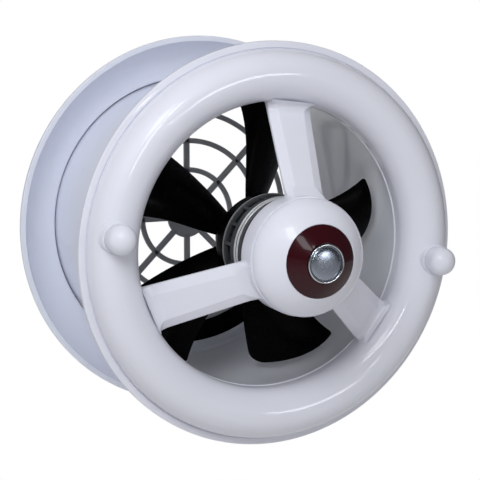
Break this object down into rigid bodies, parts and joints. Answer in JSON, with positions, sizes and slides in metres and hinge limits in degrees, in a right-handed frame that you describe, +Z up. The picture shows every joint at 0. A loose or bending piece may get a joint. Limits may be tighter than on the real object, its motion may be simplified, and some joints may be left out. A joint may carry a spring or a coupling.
{
  "type": "window exhaust fan",
  "caption": "Round exhaust fan for a hole in a pane or wall: domed front ring with bevelled arms, hub motor, bladed impeller, duct tube, sliding outdoor ring and web guard.",
  "frame": {"origin": "on the fan's axis, in the plane where the front ring's lip seats against the pane or wall", "axes": "-Y points into the room, +Y points outdoors along the duct tube, +Z is up along one arm, +X is to the right seen from the room"},
  "size_m": [0.35, 0.3051, 0.35],
  "materials": {
    "white_plastic": "glossy injection-moulded white with a faint cool tint",
    "outdoor_plastic": "white moulding, slightly less glossy",
    "black_plastic": "polished black blades and hub",
    "guard_plastic": "satin slate grey",
    "motor_paint": "graphite paint on pressed bells",
    "maroon_plastic": "polished dark maroon",
    "chrome": "bright plating",
    "steel": "zinc-plated steel",
    "silver_band": "turned bright band",
    "copper": "enamelled copper wire",
    "brass": "turned brass",
    "cream_plastic": "plain insulating plastic"
  },
  "bodies": {
    "housing": {"front_frame": "white_plastic", "duct_tube": "white_plastic", "rear_guard": "guard_plastic", "rain_baffle": "black_plastic", "guard_screw_1": "steel", "guard_screw_2": "steel", "guard_screw_3": "steel", "guard_screw_4": "steel", "hub_cap": "white_plastic", "trim_ring": "maroon_plastic", "badge_bezel": "chrome", "badge": "chrome", "left_lug_insert": "brass", "right_lug_insert": "brass", "motor_front_bell": "motor_paint", "motor_rear_bell": "motor_paint", "stator_core": "motor_paint", "stator_band_1": "silver_band", "stator_band_2": "silver_band", "front_winding": "copper", "rear_winding": "copper", "front_bearing": "steel", "rear_bearing": "steel", "motor_screw_1": "steel", "motor_screw_2": "steel", "motor_screw_3": "steel", "run_capacitor": "cream_plastic", "terminal_block": "cream_plastic"},
    "rotor": {"motor_shaft": "steel", "rotor_core": "steel", "impeller": "black_plastic", "impeller_washer": "steel", "impeller_nut": "steel"},
    "left_knob_set": {"left_knob": "white_plastic", "left_knob_stud": "steel", "left_knob_washer": "steel"},
    "right_knob_set": {"right_knob": "white_plastic", "right_knob_stud": "steel", "right_knob_washer": "steel"},
    "outdoor": {"outdoor_ring": "outdoor_plastic", "clamp_screw_1": "steel", "clamp_screw_2": "steel", "clamp_screw_3": "steel"}
  },
  "joints": [
    {"name": "rotor_spin", "type": "hinge", "parent": "housing", "child": "rotor", "pos_m": [0, 0, 0], "axis": [0, -1, 0], "continuous": true},
    {"name": "left_knob_turn", "type": "hinge", "parent": "housing", "child": "left_knob_set", "pos_m": [-0.1502, -0.03, 0], "axis": [0, -1, 0], "range_deg": [0, 540]},
    {"name": "right_knob_turn", "type": "hinge", "parent": "housing", "child": "right_knob_set", "pos_m": [0.1502, -0.03, 0], "axis": [0, -1, 0], "range_deg": [0, 540]},
    {"name": "outdoor_slide", "type": "slide", "parent": "housing", "child": "outdoor", "axis": [0, 1, 0], "range_m": [-0.15, 0]}
  ]
}
